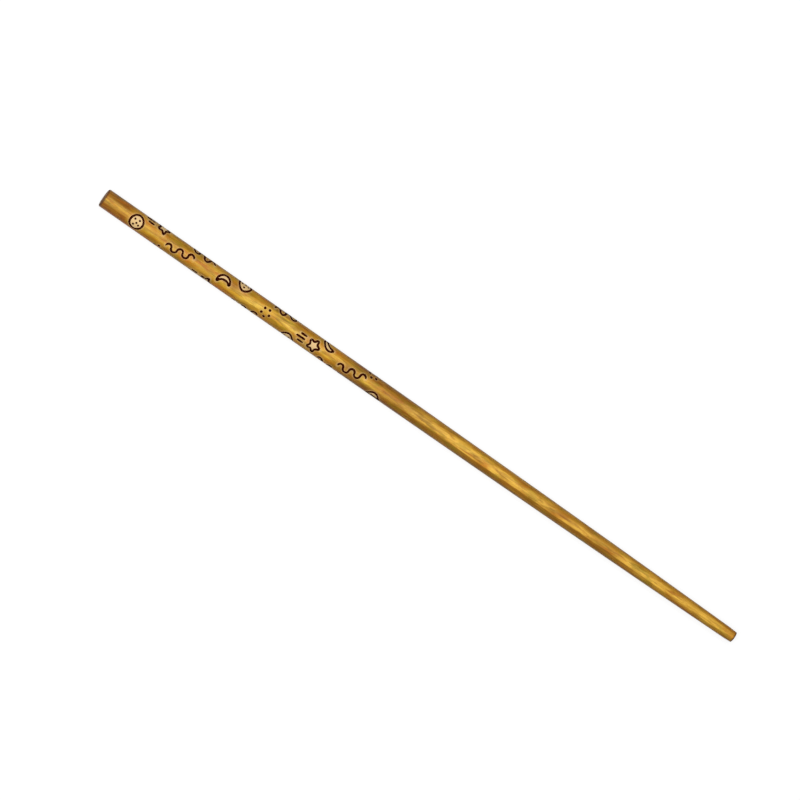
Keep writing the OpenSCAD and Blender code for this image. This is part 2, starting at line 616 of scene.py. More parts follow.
@dataclass
class Engraving:
    """The engraved lines and dots, and the paint in them."""

    stick: Stick
    sizes: MotifSizes = field(default_factory=MotifSizes)
    hand: HandDrawing = field(default_factory=HandDrawing)
    start: float = 19 * MM
    pitch: float = 5 * MM
    count: int = 29
    turn_step: float = math.radians(144)
    first_turn: float = math.radians(10)
    spin_step: float = math.radians(100)
    wave_slant: float = math.radians(9)
    depth: float = 0.5 * MM
    paint_recess: float = 0.15 * MM
    overrun: float = 0.6 * MM
    dot_sides: int = 20
    order: tuple[Motif, ...] = (
        Motif.MOON,
        Motif.WAVE,
        Motif.STAR,
        Motif.DUST,
        Motif.CRESCENT,
        Motif.WAVE,
    )
    shape: ShapeTree = field(init=False)

    def __post_init__(self) -> None:
        """Makes the tree that the grooves and all of their paint share."""
        self.shape = self.tree()

    def places(self) -> Iterator[Place]:
        """Gives every motif's place, in order from the butt."""
        for step in range(self.count):
            kind = self.order[step % len(self.order)]
            spin = step * self.spin_step
            if kind is Motif.STAR:
                spin = 0.0
            if kind is Motif.WAVE:
                # Waves come at odd steps, and slant one way on every other odd step.
                spin = self.wave_slant if step % 4 == 1 else -self.wave_slant
            yield Place(
                kind, step, self.start + step * self.pitch, self.first_turn + step * self.turn_step, spin
            )

    def lift(self, points: np.ndarray, place: Place, outline: Outline) -> tuple[np.ndarray, np.ndarray]:
        """Lays flat points on the stick.

        Args:
            points: Flat points round the motif's middle.
            place: Where the motif lies.
            outline: The stick's rings along its axis, and their radii.

        Returns:
            The points on the surface, and the outward direction at each.
        """
        cos, sin = math.cos(place.spin), math.sin(place.spin)
        along = place.along + points[:, 0] * cos - points[:, 1] * sin
        across = points[:, 0] * sin + points[:, 1] * cos
        radius = np.interp(along, *outline)
        bearing = place.turn - np.arcsin(np.clip(across / radius, -1, 1))
        outward = np.column_stack([np.zeros_like(bearing), -np.sin(bearing), np.cos(bearing)])
        surface = radius[:, None] * outward
        surface[:, 0] = along
        return surface, outward

    def seed(self, name: str, kinds: Iterable[Motif], outline: Outline) -> Mesh:
        """Draws motifs on the stick as bare lines and points.

        Args:
            name: Name of the mesh.
            kinds: Which motifs to draw.
            outline: The stick's rings along its axis, and their radii.

        Returns:
            A mesh whose points know their outward direction and either a line's or a dot's size.
        """
        wanted = set(kinds)
        rows, edges = [], []
        first = 0
        for place in self.places():
            if place.kind not in wanted:
                continue
            strokes, dots = self.sizes.draw(place.kind)
            for number, stroke in enumerate(strokes):
                seed = self.hand.step_shift * place.step + self.hand.line_shift * number
                points, shares = self.hand.draw(stroke, self.sizes.line_w, seed)
                rows.append((*self.lift(points, place, outline), shares, np.zeros(len(points))))
                last = first + len(points)
                edges += [(i, i + 1) for i in range(first, last - 1)]
                if stroke.closed:
                    edges.append((last - 1, first))
                first = last
            if dots:
                points = np.array([dot.place for dot in dots])
                radii = np.array([dot.radius for dot in dots])
                rows.append((*self.lift(points, place, outline), np.zeros(len(dots)), radii))
                first += len(dots)
        surfaces, outwards, shares, radii = (np.concatenate(column) for column in zip(*rows))
        mesh = bpy.data.meshes.new(name)
        mesh.from_pydata(surfaces.tolist(), edges, [])
        columns = (
            ("outward", "FLOAT_VECTOR", "vector", outwards),
            ("line_share", "FLOAT", "value", shares),
            ("dot_radius", "FLOAT", "value", radii),
        )
        for key, kind, target, values in columns:
            attribute = mesh.attributes.new(key, kind, "POINT")
            attribute.data.foreach_set(target, values.astype(np.float32).ravel())
        return mesh

    def tree(self) -> ShapeTree:
        """Makes the tree that sweeps bare lines and sets dots, from one height to another.

        Returns:
            The tree, with inputs for the line's width and the two heights.
        """
        shape = ShapeTree("engraved_lines")
        tree = shape.tree
        line_w = shape.add_input("Line Width")
        bottom = shape.add_input("Bottom")
        top = shape.add_input("Top")
        sides = shape.add_input("Dot Sides", "Int")
        material = shape.add_input("Material", "Material")
        outward, line_share, dot_radius = (
            add_node(tree, "GeometryNodeInputNamedAttribute", {"Name": name}, data_type=kind)
            for name, kind in (("outward", "FLOAT_VECTOR"), ("line_share", "FLOAT"), ("dot_radius", "FLOAT"))
        )
        height = add_node(tree, "ShaderNodeMath", {0: top, 1: bottom}, operation="SUBTRACT")
        total = add_node(tree, "ShaderNodeMath", {0: top, 1: bottom}, operation="ADD")
        middle = add_node(tree, "ShaderNodeMath", {0: total, 1: 0.5}, operation="MULTIPLY")

        lines = add_node(tree, "GeometryNodeMeshToCurve", {"Mesh": shape.inputs})
        upright = add_node(
            tree, "GeometryNodeSetCurveNormal", {"Curve": lines, "Normal": outward}, mode="FREE"
        )
        section = add_node(
            tree,
            "GeometryNodeCurvePrimitiveQuadrilateral",
            {"Width": height, "Height": line_w},
            mode="RECTANGLE",
        )
        raised = add_node(tree, "ShaderNodeCombineXYZ", {"X": middle})
        section = add_node(tree, "GeometryNodeTransform", {"Geometry": section, "Translation": raised})
        swept = add_node(
            tree,
            "GeometryNodeCurveToMesh",
            {"Curve": upright, "Profile Curve": section, "Scale": line_share, "Fill Caps": True},
        )

        is_dot = add_node(tree, "FunctionNodeCompare", {"A": dot_radius, "B": 0.0}, operation="GREATER_THAN")
        disc = add_node(
            tree,
            "GeometryNodeMeshCylinder",
            {"Vertices": sides, "Radius": 1.0, "Depth": height},
            fill_type="NGON",
        )
        lifted = add_node(tree, "ShaderNodeCombineXYZ", {"Z": middle})
        disc = add_node(tree, "GeometryNodeTransform", {"Geometry": disc, "Translation": lifted})
        facing = add_node(tree, "FunctionNodeAlignRotationToVector", {"Vector": outward}, axis="Z")
        width = add_node(tree, "ShaderNodeCombineXYZ", {"X": dot_radius, "Y": dot_radius, "Z": 1.0})
        dots = add_node(
            tree,
            "GeometryNodeInstanceOnPoints",
            {
                "Points": shape.inputs,
                "Selection": is_dot,
                "Instance": disc,
                "Rotation": facing,
                "Scale": width,
            },
        )
        both = add_node(tree, "GeometryNodeJoinGeometry", {0: swept})
        tree.links.new(dots.outputs[0], both.inputs[0])
        shape.close(both, material)
        return shape

    def carve(
        self,
        name: str,
        kinds: Iterable[Motif],
        outline: Outline,
        heights: tuple[float, float],
        material: Material,
    ) -> Object:
        """Makes motifs solid between two heights over the surface.

        Args:
            name: Name of the object.
            kinds: Which motifs.
            outline: The stick's rings along its axis, and their radii.
            heights: Lowest and highest height over the surface.
            material: Finish of the solids.

        Returns:
            The motifs as closed meshes in one object.
        """
        values = {
            "Line Width": self.sizes.line_w,
            "Bottom": heights[0],
            "Top": heights[1],
            "Dot Sides": self.dot_sides,
            "Material": material,
        }
        return self.shape.run(name, self.seed(f"{name}_drawing", kinds, outline), values)


def empty_tree(owner: Material | World) -> NodeTree:
    """Gives a new material or surround an empty tree.

    Args:
        owner: The material or surround.

    Returns:
        Its tree.
    """
    owner.use_nodes = True
    owner.node_tree.nodes.clear()
    return owner.node_tree


@dataclass
class FinishTree:
    """A finish's material, with a tree whose patterns lie on object coordinates."""

    name: str
    material: Material = field(init=False)
    tree: NodeTree = field(init=False)
    coords: NodeSocket = field(init=False)

    def __post_init__(self) -> None:
        """Makes the material, with only its coordinates in the tree."""
        self.material = bpy.data.materials.new(self.name)
        self.tree = empty_tree(self.material)
        self.coords = add_node(self.tree, "ShaderNodeTexCoord").outputs["Object"]

    def streaks(
        self, length: float, width: float, detail: float, shift: float = 0.0, distortion: float = 0.0
    ) -> Node:
        """Adds a noise that is drawn out along the stick.

        Args:
            length: Length of a streak.
            width: Width of a streak.
            detail: How many finer layers the noise has.
            shift: Number that sets this noise apart from others.
            distortion: How far the streaks are bent.

        Returns:
            The noise.
        """
        scale = (1 / length, 1 / width, 1 / width)
        placed = add_node(
            self.tree,
            "ShaderNodeMapping",
            {"Vector": self.coords, "Location": (shift, shift, 0), "Scale": scale},
        )
        return add_node(
            self.tree,
            "ShaderNodeTexNoise",
            {"Vector": placed, "Scale": 1.0, "Detail": detail, "Distortion": distortion},
        )

    def close(self, inputs: dict[str, object]) -> Material:
        """Ends the tree with one principled shader.

        Args:
            inputs: The shader's inputs, each with a value or a node to link.

        Returns:
            The finished material.
        """
        shader = add_node(self.tree, "ShaderNodeBsdfPrincipled", inputs)
        add_node(self.tree, "ShaderNodeOutputMaterial", {"Surface": shader})
        return self.material


@dataclass(frozen=True)
class Stretch:
    """A part of the stick's length, with a soft fade past both of its ends."""

    middle: float
    half_l: float
    fade: float

    def share(self, finish: FinishTree, cover: float) -> Node:
        """Works out how much of a coat lies at a point.

        Args:
            finish: Tree that gets the nodes.
            cover: How far the coat hides what is below it.

        Returns:
            A node that gives the cover inside the stretch and fades to 0 outside it.
        """
        tree = finish.tree
        along = add_node(tree, "ShaderNodeSeparateXYZ", {0: finish.coords}).outputs["X"]
        away = add_node(tree, "ShaderNodeMath", {0: along, 1: self.middle}, operation="SUBTRACT")
        distance = add_node(tree, "ShaderNodeMath", {0: away}, operation="ABSOLUTE")
        return add_node(
            tree,
            "ShaderNodeMapRange",
            {
                "Value": distance,
                "From Min": self.half_l,
                "From Max": self.half_l + self.fade,
                "To Min": cover,
                "To Max": 0.0,
            },
            interpolation_type="SMOOTHSTEP",
        )


HANDLE_HALF = Stretch(70 * MM, 90 * MM, 30 * MM)
PLAIN_HALF = Stretch(290 * MM, 105 * MM, 30 * MM)
PLAIN_MIDDLE = Stretch(240 * MM, 50 * MM, 30 * MM)
DARK_PATCH = Stretch(280 * MM, 15 * MM, 15 * MM)
BUTT_END = Stretch(3 * MM, 9 * MM, 6 * MM)
TIP_END = Stretch(352 * MM, 18 * MM, 12 * MM)
PATTERN_END = Stretch(162 * MM, 14 * MM, 14 * MM)


@dataclass(frozen=True)
class Coat:
    """One coat of colour over what lies below it, on the whole stick or on a stretch of it."""

    colour: str
    cover: float
    stretch: Stretch | None = field(default=None, kw_only=True)

    def spread(self, finish: FinishTree, below: Paint, pattern: Node, bare: float, full: float) -> Node:
        """Lays the coat over a colour, as a pattern tells.

        Args:
            finish: Tree that gets the nodes.
            below: Colour under the coat.
            pattern: Node whose value tells how much of the coat lies at a point.
            bare: Value where none of it lies.
            full: Value where all of it lies.

        Returns:
            The colour with the coat on it.
        """
        cover = self.stretch.share(finish, self.cover) if self.stretch else self.cover
        share = add_node(
            finish.tree,
            "ShaderNodeMapRange",
            {"Value": pattern, "From Min": bare, "From Max": full, "To Max": cover},
            interpolation_type="SMOOTHSTEP",
        )
        colours = {0: share, 6: below, 7: linear(self.colour)}
        return add_node(finish.tree, "ShaderNodeMix", colours, data_type="RGBA")


@dataclass(frozen=True)
class Brushwork(Coat):
    """A coat laid in strokes along the stick."""

    stroke_l: float
    stroke_w: float
    bare: float
    full: float
    shift: float = 0.0
    detail: float = 3.0
    distortion: float = 0.3

    def lay(self, finish: FinishTree, below: Paint) -> Node:
        """Brushes the coat over a colour, and gives the colour with the coat on it."""
        strokes = finish.streaks(self.stroke_l, self.stroke_w, self.detail, self.shift, self.distortion)
        return self.spread(finish, below, strokes, self.bare, self.full)


@dataclass(frozen=True)
class StainAndPaintedLightBand(Coat):
    """A band of colour along one side of the stick, with a brushed edge. Its angles are in degrees."""

    # The bands lay stains, painted shade down the flanks, and a painted highlight along the top.
    bearing: float
    half_width: float
    edge: float
    waver: float = 0.4
    waver_l: float = 34 * MM
    waver_w: float = 170 * MM
    detail: float = 4.0

    def lay(self, finish: FinishTree, below: Paint) -> Node:
        """Lays the band over a colour.

        Args:
            finish: Tree that gets the nodes.
            below: Colour under the band.

        Returns:
            The colour with the band on it.
        """
        tree = finish.tree
        bearing, half_width, edge = map(math.radians, (self.bearing, self.half_width, self.edge))
        towards = (0.0, -math.sin(bearing), math.cos(bearing))
        across = add_node(
            tree, "ShaderNodeVectorMath", {0: finish.coords, 1: (0.0, 1.0, 1.0)}, operation="MULTIPLY"
        )
        outward = add_node(tree, "ShaderNodeVectorMath", {0: across}, operation="NORMALIZE")
        facing = add_node(tree, "ShaderNodeVectorMath", {0: outward, 1: towards}, operation="DOT_PRODUCT")
        waver = finish.streaks(self.waver_l, self.waver_w, self.detail)
        centred = add_node(tree, "ShaderNodeMath", {0: waver, 1: 0.5}, operation="SUBTRACT")
        wandering = add_node(
            tree, "ShaderNodeMath", {0: centred, 1: self.waver, 2: facing}, operation="MULTIPLY_ADD"
        )
        outer, inner = math.cos(half_width + edge), math.cos(half_width - edge)
        return self.spread(finish, below, wandering, outer, inner)


@dataclass(frozen=True)
class GroovePaint:
    """Matt acrylic paint, wiped into the grooves."""

    dark: str = "#280400"
    worn: str = "#431200"
    patch: float = 1.6 * MM
    patch_h: float = 0.05 * MM
    detail: float = 3.0
    relief: float = 0.5
    roughness: float = 0.8
    gloss: float = 0.04

    def material(self) -> Material:
        """Mixes the paint.

        Returns:
            The material.
        """
        # Wiped acrylic is dull and dark, and a little thinner and browner in patches.
        finish = FinishTree("matt_acrylic_wiped_into_grooves")
        patches = finish.streaks(self.patch, self.patch, self.detail)
        colours = {0: patches, 6: linear(self.dark), 7: linear(self.worn)}
        relief = {"Height": patches, "Distance": self.patch_h, "Strength": self.relief}
        return finish.close(
            {
                "Base Color": add_node(finish.tree, "ShaderNodeMix", colours, data_type="RGBA"),
                "Roughness": self.roughness,
                "Specular IOR Level": self.gloss,
                "Normal": add_node(finish.tree, "ShaderNodeBump", relief),
            }
        )


@dataclass(frozen=True)
class PaintedResin:
    """Cast polyester resin, brushed by hand in golden browns to look like wood, then lacquered."""

    stick: Stick
    ground: str = "#d9a42e"
    # Some of the bands are painted shade down the flanks, and one is a painted highlight along the top.
    # Brushwork: colour, cover, stroke's length and width, noise where bare and where full, shift.
    # StainAndPaintedLightBand: colour, cover, bearing from the top, half width and edge.
    coats: tuple[Brushwork | StainAndPaintedLightBand, ...] = (
        Brushwork("#b07616", 0.7, 17 * MM, 4 * MM, 0.5, 0.66),
        Brushwork("#f0c64e", 0.8, 20 * MM, 3.4 * MM, 0.48, 0.64, 5.3),
        # Painted shade: darker bands down both flanks of the handle half, where the round turns away from
        # the light.
        StainAndPaintedLightBand("#8e5608", 0.62, 68, 36, 15, stretch=HANDLE_HALF),
        StainAndPaintedLightBand("#905c08", 0.56, -68, 36, 15, stretch=HANDLE_HALF),
        # Painted shade: darker bands down both flanks near the butt.
        StainAndPaintedLightBand("#86440a", 0.85, 62, 46, 14, stretch=BUTT_END),
        StainAndPaintedLightBand("#7c4406", 0.85, -62, 46, 14, stretch=BUTT_END),
        # Painted highlight: a paler band along the top of the plain half.
        StainAndPaintedLightBand("#f4c04e", 0.75, 0, 38, 20, stretch=PLAIN_HALF),
        Brushwork("#b8620c", 0.65, 16 * MM, 3.2 * MM, 0.5, 0.64, 11.7),
        Brushwork("#8a6c10", 0.6, 13 * MM, 3 * MM, 0.53, 0.66, 17.1),
        Brushwork("#8a5a1c", 0.4, 22 * MM, 5 * MM, 0.36, 0.56, 2.9, stretch=PATTERN_END),
        # Painted shade: darker bands down both flanks where the engraving ends.
        StainAndPaintedLightBand("#663a04", 0.65, 66, 46, 12, stretch=PATTERN_END),
        StainAndPaintedLightBand("#6a4006", 0.65, -66, 44, 12, stretch=PATTERN_END),
        Brushwork("#a2631a", 0.5, 24 * MM, 5 * MM, 0.36, 0.56, 7.7, stretch=DARK_PATCH),
        Brushwork("#a06a14", 0.4, 14 * MM, 3 * MM, 0.4, 0.6, 53.7, stretch=TIP_END),
        # Painted shade: a darker band down the upper flank of the plain half.
        StainAndPaintedLightBand("#9c660a", 0.55, -68, 38, 12, stretch=PLAIN_HALF),
        # A darker band down the lower flank of the plain half, with a crisp edge: partly stain, partly
        # painted shade.
        StainAndPaintedLightBand("#865602", 0.6, 66, 46, 4, stretch=PLAIN_HALF),
        StainAndPaintedLightBand("#7c4e02", 0.6, 66, 46, 4, stretch=PLAIN_MIDDLE),
        Brushwork("#a2540a", 0.34, 8 * MM, 2.2 * MM, 0.52, 0.64, 61.3),
        Brushwork("#867a14", 0.34, 7 * MM, 2.4 * MM, 0.52, 0.64, 71.9),
        Brushwork("#c08a2c", 0.35, 11 * MM, 1.5 * MM, 0.5, 0.58, 41.3),
        Brushwork("#743a02", 0.32, 9 * MM, 1.2 * MM, 0.53, 0.62, 47.9),
        Brushwork("#74450f", 0.4, 9 * MM, 0.45 * MM, 0.54, 0.72, 23.9),
    )
    pale_tone: str = "#e6c48c"
    rim: Coat = Coat("#4a250c", 1.0)
    rim_l: float = 1.2 * MM
    # The end faces' bare resin, painted paler than it is as painted light, since little lamp light reaches
    # them.
    cut: str = "#f6caa4"
    sanded: str = "#cc946c"
    sanding: float = 0.7 * MM
    sanding_detail: float = 4.0
    cut_l: float = 0.5 * MM
    cut_roughness: float = 0.9
    groove: GroovePaint = field(default_factory=GroovePaint)
    gloss: float = 0.15
    grain_w: float = 0.4 * MM
    grain_l: float = 14 * MM
    grain_h: float = 0.03 * MM
    grain_detail: float = 3.0
    grain_range: tuple[float, float] = (0.3, 0.7)
    roughness: tuple[float, float] = (0.27, 0.44)
    relief: float = 0.6

    def mark(self, finish: FinishTree, below: Paint, attribute: str, colour: str) -> Node:
        """Lays a colour where the mesh is marked.

        Args:
            finish: Tree that gets the nodes.
            below: Colour where the mesh isn't marked.
            attribute: Name of the mark.
            colour: Colour that the mark brings.

        Returns:
            The colour with the marks on it.
        """
        share = add_node(finish.tree, "ShaderNodeAttribute", attribute_name=attribute).outputs["Fac"]
        colours = {0: share, 6: below, 7: linear(colour)}
        return add_node(finish.tree, "ShaderNodeMix", colours, data_type="RGBA")

    def bare_ends(self, finish: FinishTree, painted: Node, lacquered: Node) -> Node:
        """Bares both end faces in a paler resin colour that is partly painted light, and darkens their rims.

        Args:
            finish: Tree that gets the nodes.
            painted: Colour of the stick.
            lacquered: Node that gives 1 along the stick and 0 on its end faces.

        Returns:
            The colour with both ends on it.
        """
        tree = finish.tree
        specks = finish.streaks(self.sanding, self.sanding, self.sanding_detail)
        colours = {0: specks, 6: linear(self.cut), 7: linear(self.sanded)}
        bare = add_node(tree, "ShaderNodeMix", colours, data_type="RGBA")
        painted = add_node(tree, "ShaderNodeMix", {0: lacquered, 6: bare, 7: painted}, data_type="RGBA")
        along, y, z = add_node(tree, "ShaderNodeSeparateXYZ", {0: finish.coords}).outputs
        across = add_node(tree, "ShaderNodeCombineXYZ", {0: y, 1: z})
        radius = add_node(tree, "ShaderNodeVectorMath", {0: across}, operation="LENGTH")
        section = add_node(tree, "ShaderNodeCombineXYZ", {0: along, 1: radius})
        for rim in ((0.0, self.stick.butt_r, 0.0), (self.stick.length, self.stick.tip_face_r, 0.0)):
            away = add_node(tree, "ShaderNodeVectorMath", {0: section, 1: rim}, operation="DISTANCE")
            painted = self.rim.spread(finish, painted, away, self.rim_l, 0.0)
        return painted

    def material(self) -> Material:
        """Paints and lacquers the resin.

        Returns:
            The material.
        """
        # Brushed paint shows as long soft streaks, and satin lacquer over it as a broad dull sheen.
        finish = FinishTree("brushed_and_lacquered_cast_resin")
        painted: Paint = linear(self.ground)
        # Among the coats are painted shade down the flanks and a painted highlight along the top.
        for coat in self.coats:
            painted = coat.lay(finish, painted)
        # The fields inside the lines, and a halo beside them, are paler.
        painted = self.mark(finish, painted, "wash", self.pale_tone)
        half = self.stick.length / 2
        lacquered = Stretch(half, half - self.cut_l, self.cut_l).share(finish, 1.0)
        painted = self.bare_ends(finish, painted, lacquered)
        painted = self.mark(finish, painted, "groove", self.groove.dark)

        # The brush leaves a fine grain in the lacquer, drawn as coarse as it needs to be to show.
        grain = finish.streaks(self.grain_l, self.grain_w, self.grain_detail)
        relief = {"Height": grain, "Distance": self.grain_h, "Strength": self.relief}
        low, high = self.grain_range
        smoothest, roughest = self.roughness
        sheen = add_node(
            finish.tree,
            "ShaderNodeMapRange",
            {"Value": grain, "From Min": low, "From Max": high, "To Min": smoothest, "To Max": roughest},
        )
        rough = add_node(finish.tree, "ShaderNodeMix", {0: lacquered, 2: self.cut_roughness, 3: sheen})
        return finish.close(
            {
                "Base Color": painted,
                "Roughness": rough,
                "Specular IOR Level": self.gloss,
                "Normal": add_node(finish.tree, "ShaderNodeBump", relief),
            }
        )


@dataclass(frozen=True)
class DrawnSteel:
    """Bright mild steel rod, as drawn through a die."""

    colour: str = "#c3c4c6"
    dull: str = "#9a9b9e"
    scratch_l: float = 20 * MM
    scratch_w: float = 0.15 * MM
    scratch_h: float = 0.01 * MM
    detail: float = 2.0
    relief: float = 0.5
    roughness: float = 0.3

    def material(self) -> Material:
        """Makes the steel.

        Returns:
            The material.
        """
        # The die leaves bright and dull scratches along the rod, drawn coarser than life so that they show.
        finish = FinishTree("drawn_mild_steel")
        scratches = finish.streaks(self.scratch_l, self.scratch_w, self.detail)
        colours = {0: scratches, 6: linear(self.colour), 7: linear(self.dull)}
        relief = {"Height": scratches, "Distance": self.scratch_h, "Strength": self.relief}
        return finish.close(
            {
                "Base Color": add_node(finish.tree, "ShaderNodeMix", colours, data_type="RGBA"),
                "Metallic": 1.0,
                "Roughness": self.roughness,
                "Normal": add_node(finish.tree, "ShaderNodeBump", relief),
            }
        )


@dataclass(frozen=True)
class SteelCore:
    """The steel rod inside the stick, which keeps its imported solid."""

    node: str = "steel_core"
    merge: float = 0.001 * MM

    @property
    def radius(self) -> float:
        """Half the rod's thickness."""
        low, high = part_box(self.node)
        return (high.z - low.z) / 2

    def hollow(self, material: Material) -> Object:
        """Copies the rod, to cut the hollow that it lies in.

        Args:
            material: Finish of the hollow's wall.

        Returns:
            A closed copy of the rod.
        """
        shell = bmesh.new()
        shell.from_mesh(bpy.data.objects[self.node].data)
        bmesh.ops.remove_doubles(shell, verts=shell.verts[:], dist=self.merge)
        mesh = bpy.data.meshes.new("core_cutter")
        shell.to_mesh(mesh)
        shell.free()
        mesh.materials.append(material)
        return add_object(mesh.name, mesh)

    def dress(self) -> Object:
        """Gives the rod its steel finish.

        Returns:
            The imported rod.
        """
        rod = bpy.data.objects[self.node]
        steel = DrawnSteel().material()
        rod.data.materials.clear()
        rod.data.materials.append(steel)
        return rod


@dataclass
class CastStick:
    """The cast stick, hollow round its core and engraved with grooves."""

    stick: Stick
    engraving: Engraving
    core: SteelCore
    field_wash: float = 0.85
    halo_wash: float = 0.55
    halo_w: float = 1.3 * MM
    crease: float = math.radians(40)
    cap_facing: float = 1 - 1e-6
    outline: Outline = field(init=False)

    def build(self) -> Object:
        """Turns, engraves and paints the stick.

        Returns:
            The finished piece.
        """
        resin = PaintedResin(self.stick).material()
        groove = bpy.data.materials.new("groove_mark")
        piece = self.stick.turn("engraved_stick", resin)
        self.outline = self.measure(piece.data)
        heights = (-self.engraving.depth, self.engraving.overrun)
        cutters = [
            self.engraving.carve("groove_cutter", Motif, self.outline, heights, groove),
            self.core.hollow(resin),
        ]
        for cutter in cutters:
            cut = piece.modifiers.new(cutter.name, "BOOLEAN")
            cut.object = cutter
            cut.operation = "DIFFERENCE"
            cut.solver = "MANIFOLD"
            cut.material_mode = "TRANSFER"
        make_plain(piece)
        for cutter in cutters:
            bpy.data.objects.remove(cutter)
        grooves = self.mark_grooves(piece.data, groove)
        self.wash(piece.data, grooves)
        self.smooth(piece.data, grooves)
        return piece

    def measure(self, mesh: Mesh) -> Outline:
        """Measures the turned stick's rings: their places along the axis, and their radii."""
        rings = read_array(mesh.vertices, "co", 3).reshape(-1, self.stick.segments, 3)
        return rings[:, 0, 0].astype(float), np.hypot(rings[:, 0, 1], rings[:, 0, 2]).astype(float)

    def mark_grooves(self, mesh: Mesh, mark: Material) -> np.ndarray:
        """Keeps which faces the engraving cut as an attribute, in place of a second material.

        Args:
            mesh: The engraved stick.
            mark: Material that the cutter left on the faces it cut.

        Returns:
            For each face, whether it belongs to a groove.
        """
        indices = read_array(mesh.polygons, "material_index", kind=np.int32)
        grooves = indices == list(mesh.materials).index(mark)
        attribute = mesh.attributes.new("groove", "FLOAT", "FACE")
        attribute.data.foreach_set("value", grooves.astype(np.float32))
        mesh.polygons.foreach_set("material_index", np.zeros_like(indices))
        while len(mesh.materials) > 1:
            mesh.materials.pop()
        bpy.data.materials.remove(mark)
        return grooves

    def wash(self, mesh: Mesh, grooves: np.ndarray) -> None:
        """Marks how much paler each point is: fields inside closed lines, and a halo beside lines.

        Args:
            mesh: The engraved stick.
            grooves: For each face, whether it belongs to a groove.
        """
        parent = list(range(len(mesh.vertices)))

        def island(point: int) -> int:
            """Finds the point that stands for a point's stretch of surface."""
            while parent[point] != point:
                parent[point] = parent[parent[point]]
                point = parent[point]
            return point

        for face in mesh.polygons:
            if not grooves[face.index]:
                first = island(face.vertices[0])
                for point in face.vertices[1:]:
                    parent[island(point)] = first
        outside = island(min(range(len(mesh.vertices)), key=lambda i: mesh.vertices[i].co.x))

        drawing = self.engraving.seed("drawing", Motif, self.outline)
        nearest = kdtree.KDTree(len(drawing.vertices))
        for point in drawing.vertices:
            nearest.insert(point.co, point.index)
        nearest.balance()
        values = np.empty(len(mesh.vertices), np.float32)
        for point in mesh.vertices:
            near = max(0.0, 1 - nearest.find(point.co)[2] / self.halo_w)
            inside = island(point.index) != outside
            values[point.index] = self.field_wash if inside else self.halo_wash * near
        bpy.data.meshes.remove(drawing)
        mesh.attributes.new("wash", "FLOAT", "POINT").data.foreach_set("value", values)

    def smooth(self, mesh: Mesh, grooves: np.ndarray) -> None:
        """Gives the turned surface the normals of a true round, up to the grooves' lips.

        Args:
            mesh: The engraved stick.
            grooves: For each face, whether it belongs to a groove.
        """
        along, radii = self.outline
        steps = np.column_stack([-np.diff(radii), np.diff(along)])
        steps /= np.linalg.norm(steps, axis=1)[:, None]
        sides = np.vstack([[-1, 0], steps, [1, 0]])
        slopes = sides[:-1] + sides[1:]
        slopes /= np.linalg.norm(slopes, axis=1)[:, None]

        mesh.polygons.foreach_set("use_smooth", np.ones(len(mesh.polygons), bool))
        mesh.set_sharp_from_angle(angle=self.crease)
        normals = read_array(mesh.corner_normals, "vector", 3)
        corners = read_array(mesh.loops, "vertex_index", kind=np.int32)
        places = read_array(mesh.vertices, "co", 3)[corners]
        totals = read_array(mesh.polygons, "loop_total", kind=np.int32)
        caps = np.abs(read_array(mesh.polygons, "normal", 3)[:, 0]) > self.cap_facing
        distance = np.hypot(places[:, 1], places[:, 2])
        hollow = distance < (self.core.radius + self.stick.tip_face_r) / 2
        round_corners = ~np.repeat(grooves | caps, totals) & ~hollow

        slope_x = np.interp(places[:, 0], along, slopes[:, 0])
        slope_r = np.interp(places[:, 0], along, slopes[:, 1])
        true = np.column_stack([slope_x, *(slope_r * places[:, i] / distance for i in (1, 2))])
        true /= np.linalg.norm(true, axis=1)[:, None]
        normals[round_corners] = true[round_corners]
        mesh.normals_split_custom_set(normals.tolist())


@dataclass(frozen=True)
class LinePaint:
    """The dark paint in the lines of one kind of motif."""

    kind: Motif
    engraving: Engraving

    def build(self, outline: Outline, paint: Material) -> Object:
        """Fills the grooves with paint, up to a little below the surface that the outline gives."""
        heights = (-self.engraving.depth, -self.engraving.paint_recess)
        return self.engraving.carve(f"{self.kind.value}_paint", [self.kind], outline, heights, paint)


@dataclass(frozen=True)
class PhotoCamera:
    """A camera that sees the wand as the photograph does."""

    stick: Stick
    image_px: int = 800
    butt_px: tuple[float, float] = (103.95, 197.3)
    tip_px: tuple[float, float] = (733.6, 637.3)
    lean: float = math.radians(8)
    lens: float = 300.0
    sensor: float = 36.0
    reach: float = 4.0

    def build(self) -> Object:
        """Sets the camera so that both ends of the wand fall on their pixels.

        Returns:
            The camera.
        """
        centre = Vector((self.image_px / 2, self.image_px / 2))
        butt, tip = Vector(self.butt_px) - centre, Vector(self.tip_px) - centre
        run = (tip - butt).normalized()
        side = Vector((-run.y, run.x))
        butt_place, tip_place, aside = butt.dot(run), tip.dot(run), butt.dot(side)

        # Seen along the lens, the ends lie nearer and further by half the length times the lean's sine.
        focal = self.lens / self.sensor * self.image_px
        half = self.stick.length / 2
        nearer, wide = half * math.sin(self.lean), half * math.cos(self.lean)
        distance = (2 * focal * wide - (tip_place + butt_place) * nearer) / (tip_place - butt_place)
        offset = wide - tip_place * (distance + nearer) / focal

        towards = Vector((-math.sin(self.lean), 0, math.cos(self.lean)))
        along = Vector((math.cos(self.lean), 0, math.sin(self.lean)))
        across = Vector((0, -1, 0))
        right = run.x * along - run.y * across
        up = towards.cross(right)
        look_at = Vector((half, 0, 0)) + offset * along - aside * distance / focal * across
        view = add_object("photo_camera", bpy.data.cameras.new("photo_camera"))
        view.data.lens = self.lens
        view.data.sensor_width = self.sensor
        view.data.clip_end = self.reach * distance
        turn = Matrix((right, up, towards)).transposed().to_4x4()
        view.matrix_world = Matrix.Translation(look_at + distance * towards) @ turn
        bpy.context.scene.camera = view
        return view


